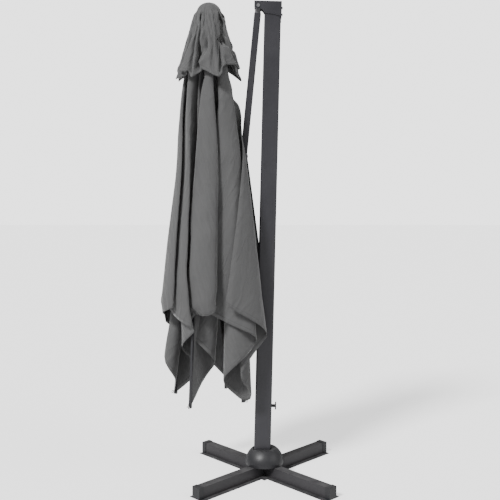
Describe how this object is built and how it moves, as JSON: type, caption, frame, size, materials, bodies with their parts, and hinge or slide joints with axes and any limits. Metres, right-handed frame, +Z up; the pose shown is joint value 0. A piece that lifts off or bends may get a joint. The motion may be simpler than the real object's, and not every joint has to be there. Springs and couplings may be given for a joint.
{
  "type": "cantilever parasol",
  "caption": "Folded cantilever parasol: leaning mast on a cross base, strut and boom linkage with a crank hoist, and a square pleated canopy with a vent cap.",
  "frame": {"origin": "on the floor, at the centre of the underside of the base hub", "axes": "+Z up; the folded canopy hangs on the -X side of the mast; the crank is on the +Y face"},
  "size_m": [0.9808, 0.7778, 2.6497],
  "materials": {
    "mast_paint": "fine satin powder coat, anthracite",
    "base_paint": "fine satin powder coat, anthracite",
    "boom_paint": "satin powder coat, black",
    "cast_alloy": "cast and painted grey",
    "black_plastic": "moulded, matt",
    "steel": "zinc plated",
    "rib_paint": "satin powder coat",
    "cable": "stranded wire",
    "eyelet_metal": "nickel plated",
    "canopy_fabric": "woven polyester, grey"
  },
  "bodies": {
    "root": {"long_bar": "base_paint", "cross_bars": "base_paint", "end_caps": "black_plastic", "under_plate": "base_paint", "hub_plate": "base_paint", "base_bolts": "steel", "base_nuts": "steel", "post_tube": "base_paint", "thrust_ring": "black_plastic"},
    "mast": {"mast_tube": "mast_paint", "swivel_bushes": "black_plastic", "dome_cover": "black_plastic", "top_bracket": "mast_paint", "bracket_bolts": "steel", "strut_pin": "steel", "pulley_plate": "steel", "pulley_pin": "steel", "cable_return": "cable", "cable_fall": "cable", "clamp_insert": "steel", "crank_housing": "black_plastic", "crank_bush": "black_plastic"},
    "pulley": {"head_pulley": "black_plastic"},
    "clamp_pad": {"clamp_pad": "steel"},
    "clamp_knob": {"clamp_screw": "steel", "clamp_knob": "black_plastic"},
    "crank": {"crank_shaft": "steel", "cable_drum": "black_plastic", "drum_winding": "cable", "crank_arm": "steel"},
    "crank_grip": {"crank_grip": "black_plastic"},
    "strut": {"strut_tube": "mast_paint", "strut_eye": "cast_alloy", "strut_spacers": "black_plastic", "strut_forks": "cast_alloy", "knuckle_pin": "steel"},
    "boom": {"boom_knuckle": "cast_alloy", "lower_boom_tube": "boom_paint", "upper_boom_tube": "mast_paint", "knuckle_bolts": "steel", "boom_foot": "cast_alloy", "boom_head": "cast_alloy"},
    "carriage": {"carriage_block": "cast_alloy", "glide_pads": "black_plastic", "carriage_pin": "steel"},
    "canopy": {"head_yoke": "cast_alloy", "head_pin": "steel", "crown_hub": "black_plastic", "rib_pins": "steel", "corner_ribs": "rib_paint", "middle_ribs": "rib_paint", "rib_tips": "black_plastic", "stretchers": "rib_paint", "stretcher_clips": "black_plastic", "runner": "black_plastic", "centre_pole": "rib_paint", "canopy_cloth": "canopy_fabric", "vent_cap": "canopy_fabric", "top_button": "black_plastic", "corner_eyelets": "eyelet_metal"}
  },
  "joints": [
    {"name": "mast_swivel", "type": "hinge", "parent": "root", "child": "mast", "pos_m": [0, 0, 0.1], "axis": [0, 0, 1], "continuous": true},
    {"name": "strut_swing", "type": "hinge", "parent": "mast", "child": "strut", "pos_m": [-0.03417, 0, 2.6232], "axis": [0, 1, 0], "range_deg": [0, 62], "deforming": ["cable_fall"]},
    {"name": "boom_fold", "type": "hinge", "parent": "strut", "child": "boom", "pos_m": [-0.11613, 0, 1.78218], "axis": [0, 1, 0], "range_deg": [-120, 0]},
    {"name": "carriage_level", "type": "hinge", "parent": "boom", "child": "carriage", "pos_m": [0.00712, 0, 0.8503], "axis": [0, 1, 0], "range_deg": [0, 58]},
    {"name": "canopy_hang", "type": "hinge", "parent": "boom", "child": "canopy", "pos_m": [-0.312, 0, 2.463], "axis": [0, 1, 0], "range_deg": [0, 58]},
    {"name": "crank_turn", "type": "hinge", "parent": "mast", "child": "crank", "pos_m": [0.00196, 0.06, 0.71979], "axis": [0, 1, 0], "range_deg": [0, 2000]},
    {"name": "grip_spin", "type": "hinge", "parent": "crank", "child": "crank_grip", "pos_m": [-0.00161, 0.115, 0.56984], "axis": [0, 1, 0], "continuous": true},
    {"name": "pulley_turn", "type": "hinge", "parent": "mast", "child": "pulley", "pos_m": [0.07534, 0.002, 2.53856], "axis": [0.9997, 0, -0.0238], "range_deg": [-3335, 0]},
    {"name": "pad_travel", "type": "slide", "parent": "mast", "child": "clamp_pad", "axis": [0.9997, 0, -0.0238], "range_m": [0, 0.003]},
    {"name": "knob_turn", "type": "hinge", "parent": "clamp_pad", "child": "clamp_knob", "pos_m": [0.05391, 0, 0.38146], "axis": [0.9997, 0, -0.0238], "range_deg": [0, 722]}
  ],
  "couplings": [
    {"joint": "boom_fold", "follows": "strut_swing", "ratio": -1.918},
    {"joint": "carriage_level", "follows": "strut_swing", "ratio": 0.918},
    {"joint": "canopy_hang", "follows": "strut_swing", "ratio": 0.918},
    {"joint": "crank_turn", "follows": "strut_swing", "ratio": 32.2},
    {"joint": "pulley_turn", "follows": "strut_swing", "ratio": -53.65},
    {"joint": "knob_turn", "follows": "pad_travel", "rad_per_m": 4188.8}
  ]
}
